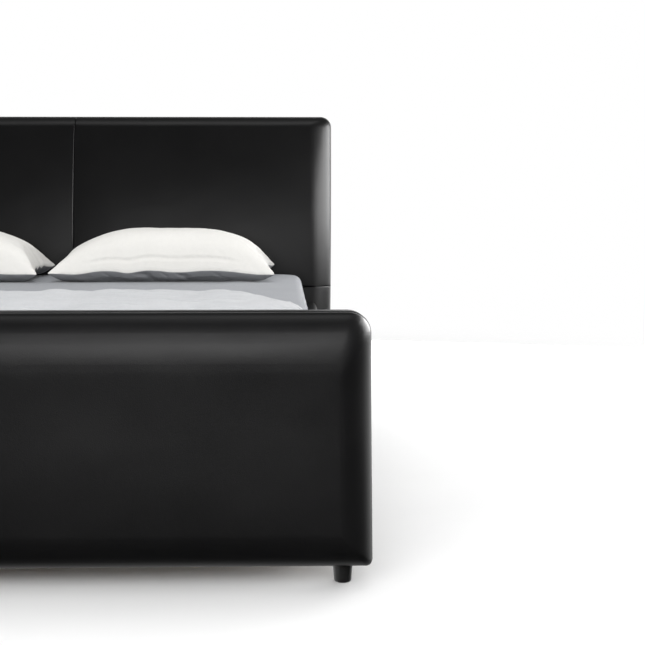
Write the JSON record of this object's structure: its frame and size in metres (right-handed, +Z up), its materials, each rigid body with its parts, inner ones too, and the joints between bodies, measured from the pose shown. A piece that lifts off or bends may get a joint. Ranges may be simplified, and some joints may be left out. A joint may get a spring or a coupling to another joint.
{
  "type": "sleigh bed",
  "caption": "Leather sleigh bed with a tall curved headboard, a low curved footboard, padded side rails, a slatted base, a mattress, a quilt and pillows.",
  "frame": {"origin": "on the floor, under the middle of the bed's overall length and width", "axes": "+Z up, +Y towards the headboard, +X to the right as seen from the foot end"},
  "size_m": [1.7468, 2.4074, 1.0329],
  "materials": {
    "black_leather": "satin",
    "pine": "matte",
    "plywood": "matte",
    "black_steel": "satin",
    "zinc_steel": "satin",
    "black_lacquer": "satin",
    "rubber": "matte",
    "mattress_ticking": "matte",
    "grey_cotton": "matte",
    "white_cotton": "matte"
  },
  "bodies": {
    "bed_frame": {"beam_hanger_foot": "black_steel", "beam_hanger_head": "black_steel", "bolt_foot_left": "zinc_steel", "bolt_foot_right": "zinc_steel", "bolt_head_left": "zinc_steel", "bolt_head_right": "zinc_steel", "centre_beam": "pine", "centre_leg_foot": "black_steel", "centre_leg_head": "black_steel", "corner_bracket_foot_left": "black_steel", "corner_bracket_foot_right": "black_steel", "corner_bracket_head_left": "black_steel", "corner_bracket_head_right": "black_steel", "footboard_bottom_rail": "pine", "footboard_cushion": "black_leather", "footboard_foot_left": "black_lacquer", "footboard_foot_right": "black_lacquer", "footboard_inner_cover": "black_leather", "footboard_piping": "black_leather", "footboard_ply_panel": "plywood", "footboard_post_left": "pine", "footboard_post_right": "pine", "footboard_top_rail": "pine", "headboard_back_cover": "black_leather", "headboard_bottom_rail": "pine", "headboard_cushion_left": "black_leather", "headboard_cushion_right": "black_leather", "headboard_foot_left": "black_lacquer", "headboard_foot_right": "black_lacquer", "headboard_lower_cushion": "black_leather", "headboard_piping": "black_leather", "headboard_ply_panel": "plywood", "headboard_post_left": "pine", "headboard_post_right": "pine", "headboard_seam_rail": "pine", "headboard_top_rail": "pine", "rail_core_left": "pine", "rail_core_right": "pine", "rail_cover_left": "black_leather", "rail_cover_right": "black_leather", "slat_01": "pine", "slat_02": "pine", "slat_03": "pine", "slat_04": "pine", "slat_05": "pine", "slat_06": "pine", "slat_07": "pine", "slat_08": "pine", "slat_09": "pine", "slat_10": "pine", "slat_11": "pine", "slat_ledge_left": "pine", "slat_ledge_right": "pine"},
    "mattress": {"mattress": "mattress_ticking", "fitted_sheet": "grey_cotton"},
    "quilt": {"quilt": "white_cotton"},
    "pillow_left": {"pillow_left": "white_cotton"},
    "pillow_right": {"pillow_right": "white_cotton"},
    "levelling_foot_head": {"levelling_foot_head": "rubber"},
    "levelling_foot_foot": {"levelling_foot_foot": "rubber"}
  },
  "joints": [
    {"name": "mattress_lift", "type": "slide", "parent": "bed_frame", "child": "mattress", "axis": [0, 0, 1], "range_m": [0, 0.3]},
    {"name": "quilt_lift", "type": "slide", "parent": "mattress", "child": "quilt", "axis": [0, 0, 1], "range_m": [0, 0.25]},
    {"name": "pillow_left_lift", "type": "slide", "parent": "mattress", "child": "pillow_left", "axis": [0, 0, 1], "range_m": [0, 0.2]},
    {"name": "pillow_right_lift", "type": "slide", "parent": "mattress", "child": "pillow_right", "axis": [0, 0, 1], "range_m": [0, 0.2]},
    {"name": "levelling_screw_head", "type": "slide", "parent": "bed_frame", "child": "levelling_foot_head", "axis": [0, 0, 1], "range_m": [0, 0.01]},
    {"name": "levelling_screw_foot", "type": "slide", "parent": "bed_frame", "child": "levelling_foot_foot", "axis": [0, 0, 1], "range_m": [0, 0.01]}
  ]
}
